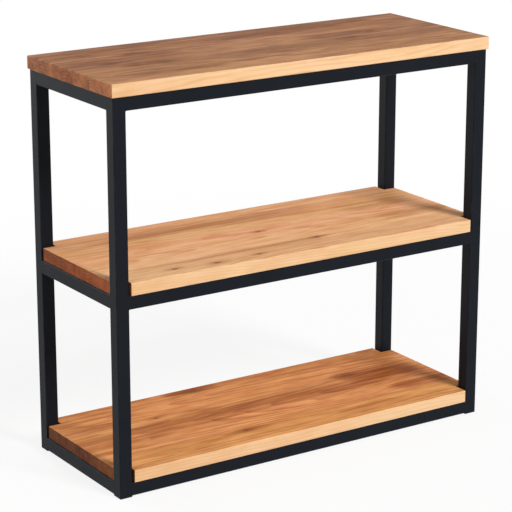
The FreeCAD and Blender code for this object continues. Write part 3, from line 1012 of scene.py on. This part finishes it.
# Beads: how much they bulge, how blunt their ends are, the leg left there, and the heel that is
# sunk into the corner, in legs.
BEAD_BULGE = 0.55
BEAD_BLUNTNESS = 10
BEAD_END = 0.35
BEAD_HEEL = -0.02

# Ground seams: where the face starts and ends and its heel inside the tube, in tube roundings, how
# far its borders sink, in rises, and how strong and how quick its swell is, against the ripples.
SEAM_FACE = (-0.4, 0.9)
SEAM_HEEL = (0.3, 0.6)
SEAM_SINK = 0.35
SEAM_SWELL = 0.25
SEAM_SWELL_RATE = 0.37


def bead_outline(stations, shape):
    """Profile of a bead: the leg over a power of sine plus cosine, so it bulges past a flat face.

    The leg shrinks in rounded ripples along the bead and towards both ends.
    """
    turn = np.linspace(0, math.pi / 2, WELD_ARC)
    reach = 1 / (np.cos(turn) + np.sin(turn)) ** BEAD_BULGE
    ripple = 1 - shape.ripple_depth * np.abs(np.sin(math.pi * stations / shape.ripple_pitch))
    ends = (1 - np.abs(2 * stations / WELD_LENGTH) ** BEAD_BLUNTNESS) ** 0.5
    leg = shape.bead_leg * ripple * (BEAD_END + (1 - BEAD_END) * ends)
    arc = np.stack([np.cos(turn) * reach, np.sin(turn) * reach], axis=-1)
    heel = np.full((1, 2), BEAD_HEEL)
    return leg[:, None, None] * np.concatenate([arc, heel])[None]


def seam_outline(stations, shape):
    """Profile of a ground seam: a low parabola from the rail's end to the post's rounding.

    The parabola starts and ends just below the steel and swells in slow waves along the seam.
    """
    share = np.linspace(-1, 1, WELD_ARC)
    across = np.linspace(*SEAM_FACE, WELD_ARC) * TUBE_ROUNDING
    rise = shape.seam_rise * ((1 + SEAM_SINK) * (1 - share ** 2) - SEAM_SINK)
    swell = 1 + SEAM_SWELL * np.sin(math.pi * stations / shape.ripple_pitch * SEAM_SWELL_RATE)
    arc = np.stack(np.broadcast_arrays(across[None, :], -rise[None, :] * swell[:, None]), axis=-1)
    heel = np.broadcast_to(np.array(SEAM_HEEL) * TUBE_ROUNDING, (len(stations), 1, 2))
    return np.concatenate([arc, heel], axis=1)


def weld_runs(level):
    """Where the seams and beads of one ring lie: corner point and the two directions they fill."""
    rail_low, rail_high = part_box(f"{level}_rail_front")
    middle = (rail_low[2] + rail_high[2]) / 2
    underside = rail_low[2]
    down = (0.0, 0.0, -1.0)
    seams, beads = [], []
    for x in SIDE_X.values():
        for y in SIDE_Y.values():
            to_end, from_end = (x, 0.0, 0.0), (-x, 0.0, 0.0)
            to_face, from_face = (0.0, y, 0.0), (0.0, -y, 0.0)
            seams.append(((x * INNER_X, y * OUTER_Y, middle), to_end, from_face))
            seams.append(((x * OUTER_X, y * INNER_Y, middle), to_face, from_end))
            beads.append(((x * INNER_X, y * INNER_Y, middle), from_end, from_face))
            if level != "bottom":
                post_x = x * (INNER_X + OUTER_X) / 2
                post_y = y * (INNER_Y + OUTER_Y) / 2
                beads.append(((x * INNER_X, post_y, underside), from_end, down))
                beads.append(((post_x, y * INNER_Y, underside), from_face, down))
    return seams, beads


def weld_mesh(level, shape):
    """Points and faces of every weld of one ring."""
    stations = np.linspace(-WELD_LENGTH / 2, WELD_LENGTH / 2, WELD_STATIONS)
    seams, beads = weld_runs(level)
    ground, ground_walls, ground_caps = carry_profile(seam_outline(stations, shape), stations, seams)
    raised, raised_walls, raised_caps = carry_profile(bead_outline(stations, shape), stations, beads)
    walls = np.concatenate([ground_walls, raised_walls + len(ground)])
    caps = np.concatenate([ground_caps, raised_caps + len(ground)])
    return np.concatenate([ground, raised]), walls.tolist() + caps.tolist()


# Operators

class PaintFrame(bpy.types.Operator):
    """Powder coat the posts and rails."""

    bl_idname = "shoe_rack.paint_frame"
    bl_label = "Paint frame"

    def execute(self, context):
        look = context.scene.rack_paint
        coat = coat_material("frame_powder_coat", look.paint, look.worn_paint_and_highlight, look.coat_grain)
        finish_nodes(POSTS + RAILS, coat)
        return {"FINISHED"}


class RunWelds(bpy.types.Operator):
    """Run the beads and ground seams where the rails meet the posts."""

    bl_idname = "shoe_rack.run_welds"
    bl_label = "Run welds"

    def execute(self, context):
        look = context.scene.rack_paint
        coat = coat_material("weld_powder_coat", look.paint, look.worn_paint_and_highlight, look.coat_grain)
        for level in LEVELS:
            points, faces = weld_mesh(level, context.scene.rack_welds)
            add_piece(f"{level}_weld_beads", points, faces, coat, f"{level}_frame_welds")
        return {"FINISHED"}


# Easing of a board's upright corners: steps, and the sharpest angle that stays as it is.
EASE_STEPS = 2
EASE_ANGLE = math.radians(50)


def lay_board(context, level):
    """One glued pine board in place of a packed board."""
    shape = context.scene.rack_boards
    node, notched, shift = BOARDS[level]
    low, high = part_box(node)
    notch = None
    if notched:
        notch = (INNER_X - shape.notch_clearance, INNER_Y - shape.notch_clearance)
    points, faces = board_mesh(low, high, notch, KNOTS[level], shape)
    height = (low[2] + high[2]) / 2
    material = wood_material(f"{node}_pine", level, context.scene.rack_wood, height, shift)
    piece = add_piece(f"{node}_pine", points, faces, material, node)
    ease = piece.modifiers.new("Eased corners", "BEVEL")
    ease.width = shape.corner_radius
    ease.segments = EASE_STEPS
    ease.angle_limit = EASE_ANGLE
    piece.modifiers.new("Even shading", "WEIGHTED_NORMAL")


class LayTopBoard(bpy.types.Operator):
    """Lay the top board over the top rails."""

    bl_idname = "shoe_rack.lay_top_board"
    bl_label = "Lay top board"

    def execute(self, context):
        lay_board(context, "top")
        return {"FINISHED"}


class LayShelfBoards(bpy.types.Operator):
    """Lay the two shelf boards, notched round the posts."""

    bl_idname = "shoe_rack.lay_shelf_boards"
    bl_label = "Lay shelf boards"

    def execute(self, context):
        lay_board(context, "middle")
        lay_board(context, "bottom")
        return {"FINISHED"}


class FitGlides(bpy.types.Operator):
    """Finish the plastic glides under the posts."""

    bl_idname = "shoe_rack.fit_glides"
    bl_label = "Fit glides"

    def execute(self, context):
        look = context.scene.rack_paint
        # The glides' edges take the same worn colour, with its painted highlight.
        plastic = coat_material("glide_moulded_plastic", look.glide, look.worn_paint_and_highlight, look.glide_grain)
        finish_nodes(GLIDES, plastic)
        return {"FINISHED"}


class DriveScrews(bpy.types.Operator):
    """Finish the plated screws that hold the boards."""

    bl_idname = "shoe_rack.drive_screws"
    bl_label = "Drive screws"

    def execute(self, context):
        look = context.scene.rack_paint
        finish_nodes(SCREWS, zinc_material("screw_zinc_plate", look.zinc, look.zinc_grain))
        return {"FINISHED"}


# Stage

WHITE = (1.0, 1.0, 1.0, 1.0)

# The floor, in metres: how far it reaches, cells along a side, how far it lies below the glides,
# and where its seen white starts to rise and is full.
FLOOR_REACH = 9.0
FLOOR_CELLS = 12
FLOOR_DROP = 0.0005
FLOOR_WHITE = (0.7, 2.2)

# The floor's finish: how bright dull patches are, the roughness and what they add to it, the noise of
# its clouds, as features per metre and detail, and its gloss.
FLOOR_DULL = 0.97
FLOOR_ROUGHNESS = 0.8
FLOOR_DULL_ROUGHNESS = 0.1
FLOOR_CLOUD_NOISE = (3.0, 3.0)
FLOOR_GLOSS = 0.1


def visible_ray(tree):
    """One for a ray that shows the background: from the camera, a reflection or a glass."""
    path = tree.nodes.new("ShaderNodeLightPath").outputs
    seen, shone, passed = (Wire(path[f"Is {kind} Ray"]) for kind in ("Camera", "Glossy", "Transmission"))
    return seen.math("MAXIMUM", shone).math("MAXIMUM", passed)


def floor_material(studio):
    """Pale floor with a faint cloud, part of it plain white where it is seen, so shadows stay."""
    look = new_material("studio_floor")
    cloud = look.position.noise(*FLOOR_CLOUD_NOISE)
    cloud.mix(full(studio.floor), full(studio.floor, FLOOR_DULL)).feed(look.inputs["Base Color"])
    (cloud * FLOOR_DULL_ROUGHNESS + FLOOR_ROUGHNESS).feed(look.inputs["Roughness"])
    look.inputs["Specular IOR Level"].default_value = FLOOR_GLOSS
    glow = Wire(look.tree.nodes.new("ShaderNodeEmission").outputs[0])
    x, y, _ = look.position.split()
    white = x.away(y).ramp(*FLOOR_WHITE, studio.floor_glow, 1.0)
    (visible_ray(look.tree) * white).through("ShaderNodeMixShader", look.skin, glow).feed(look.output)
    return look.material


def lay_floor(studio):
    """The studio floor, a level grid just below the glides."""
    line = np.linspace(-FLOOR_REACH, FLOOR_REACH, FLOOR_CELLS + 1)
    grid_x, grid_y = np.meshgrid(line, line, indexing="ij")
    cells = grid_cells(np.arange(grid_x.size).reshape(grid_x.shape))
    points = np.column_stack([grid_x.ravel(), grid_y.ravel(), np.full(grid_x.size, -FLOOR_DROP)])
    floor = add_mesh("studio_floor", points, cells.reshape(-1, 4).tolist(), floor_material(studio))


def hang_lamp(studio, name):
    """A square lamp that looks at the rack's middle.

    Its power is the level times pi squared times the distance squared, at which a white card that
    faces the lamp is seen at that level.
    """
    bearing, height, distance, size, level = (
        getattr(studio, f"{name}_{part}") for part in ("bearing", "height", "distance", "size", "level")
    )
    target = Vector((0.0, 0.0, CAD_BOX[1][2] / 2))
    along_floor = math.cos(height)
    way = Vector((math.sin(bearing) * along_floor, -math.cos(bearing) * along_floor, math.sin(height)))
    lamp = bpy.data.lights.new(f"{name}_lamp", "AREA")
    lamp.size = size
    lamp.energy = level * math.pi ** 2 * distance ** 2
    holder = add_object(f"{name}_lamp", lamp)
    holder.location = target + way * distance
    holder.rotation_euler = way.to_track_quat("Z", "Y").to_euler()
    holder.visible_camera = False


def fill_room(scene, studio):
    """Even room light, seen as plain white."""
    world = bpy.data.worlds.new("studio_room")
    world.use_nodes = True
    tree = world.node_tree
    tree.nodes.clear()
    room, white = (
        Wire(add_node(tree, "ShaderNodeBackground", {"Color": WHITE, "Strength": strength}).outputs[0])
        for strength in (studio.room_level, 1.0)
    )
    output = tree.nodes.new("ShaderNodeOutputWorld").inputs["Surface"]
    visible_ray(tree).through("ShaderNodeMixShader", room, white).feed(output)
    scene.world = world


def aim_camera(scene, studio):
    """The camera, at the photograph's viewing angle."""
    lens = bpy.data.cameras.new("photo_camera")
    lens.lens = studio.lens
    camera = add_object("photo_camera", lens)
    camera.location = studio.camera_place
    camera.rotation_euler = (math.pi / 2 - studio.camera_tilt, 0.0, -studio.camera_turn)
    scene.camera = camera


class SetStage(bpy.types.Operator):
    """Set the floor, the lamps, the room light and the camera."""

    bl_idname = "shoe_rack.set_stage"
    bl_label = "Set stage"

    def execute(self, context):
        scene = context.scene
        studio = scene.rack_studio
        lay_floor(studio)
        hang_lamp(studio, "key")
        hang_lamp(studio, "back")
        fill_room(scene, studio)
        aim_camera(scene, studio)
        scene.view_settings.view_transform = "Standard"
        return {"FINISHED"}


class RackPanel(bpy.types.Panel):
    """Lists the rack's settings and its steps."""

    bl_idname = "VIEW3D_PT_shoe_rack"
    bl_label = "Shoe Rack"
    bl_space_type = "VIEW_3D"
    bl_region_type = "UI"
    bl_category = "Shoe Rack"

    def draw(self, context):
        for name in SETTINGS:
            box = self.layout.box()
            group = getattr(context.scene, name)
            for key in type(group).__annotations__:
                box.prop(group, key)
        for step in STEPS:
            self.layout.operator(step.bl_idname)


SETTINGS = {
    "rack_boards": BoardShape,
    "rack_wood": BoardWood,
    "rack_paint": FramePaint,
    "rack_welds": WeldShape,
    "rack_studio": Studio,
}
STEPS = (PaintFrame, RunWelds, LayTopBoard, LayShelfBoards, FitGlides, DriveScrews, SetStage)


def register():
    """Registers the settings, the steps and the panel."""
    for name, group in SETTINGS.items():
        bpy.utils.register_class(group)
        setattr(bpy.types.Scene, name, bpy.props.PointerProperty(type=group))
    for step in (*STEPS, RackPanel):
        bpy.utils.register_class(step)


def unregister():
    """Removes what register added, last first."""
    for step in (RackPanel, *reversed(STEPS)):
        bpy.utils.unregister_class(step)
    for name, group in reversed(SETTINGS.items()):
        delattr(bpy.types.Scene, name)
        bpy.utils.unregister_class(group)


def main():
    """Builds the rack's looks and its stage."""
    register()
    build_groups()
    bpy.ops.shoe_rack.paint_frame()
    bpy.ops.shoe_rack.run_welds()
    bpy.ops.shoe_rack.lay_top_board()
    bpy.ops.shoe_rack.lay_shelf_boards()
    bpy.ops.shoe_rack.fit_glides()
    bpy.ops.shoe_rack.drive_screws()
    bpy.ops.shoe_rack.set_stage()


if __name__ == "__main__":
    main()
